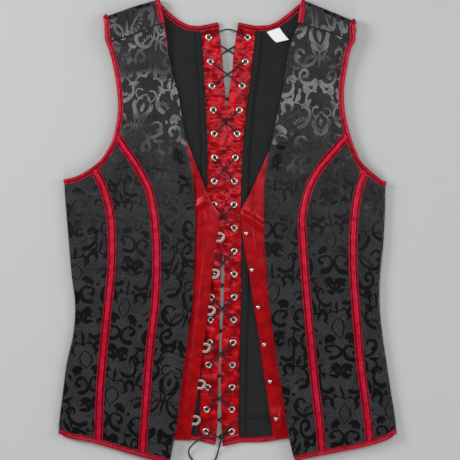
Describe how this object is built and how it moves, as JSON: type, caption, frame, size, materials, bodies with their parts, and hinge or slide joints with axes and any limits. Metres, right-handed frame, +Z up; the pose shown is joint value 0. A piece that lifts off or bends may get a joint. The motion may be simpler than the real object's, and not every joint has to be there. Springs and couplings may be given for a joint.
{
  "type": "laced waistcoat",
  "caption": "Black brocade waistcoat with red satin boning channels and bindings, an open busk front and a laced back, laid flat on its back.",
  "frame": {"origin": "middle of the garment's box in plan, on the table it lies on", "axes": "+X to the right as seen from above with the neck away from the viewer, +Y from the hem to the neck, +Z up from the table"},
  "size_m": [0.467, 0.6486, 0.0149],
  "materials": {
    "brocade": "black woven brocade with satin scrolls on a dull ground",
    "lining": "black cotton twill",
    "satin": "red satin, softly glossy",
    "steel": "satin steel",
    "lace": "black flat-braided cord",
    "label": "white woven tape, unprinted"
  },
  "bodies": {
    "root": {"armhole_binding_left": "satin", "armhole_binding_right": "satin", "back_left": "brocade", "back_lining_left": "lining", "back_lining_right": "lining", "back_right": "brocade", "bone_strip_left": "lining", "bone_strip_right": "lining", "busk_facing_left": "satin", "busk_facing_right": "satin", "busk_knob_1": "steel", "busk_knob_2": "steel", "busk_knob_3": "steel", "busk_knob_4": "steel", "busk_knob_5": "steel", "busk_knob_6": "steel", "busk_loop_1": "steel", "busk_loop_2": "steel", "busk_loop_3": "steel", "busk_loop_4": "steel", "busk_loop_5": "steel", "busk_loop_6": "steel", "care_label": "label", "channel_left_inner": "satin", "channel_left_outer": "satin", "channel_right_inner": "satin", "channel_right_outer": "satin", "front_left_centre": "brocade", "front_left_middle": "brocade", "front_left_side": "brocade", "front_right_centre": "brocade", "front_right_middle": "brocade", "front_right_side": "brocade", "hem_binding_left": "satin", "hem_binding_right": "satin", "lace": "lace", "lace_knot": "lace", "lace_tail_long": "lace", "lace_tail_short": "lace", "lacing_panel_left": "satin", "lacing_panel_right": "satin", "neck_binding_left": "satin", "neck_binding_right": "satin"}
  },
  "joints": []
}
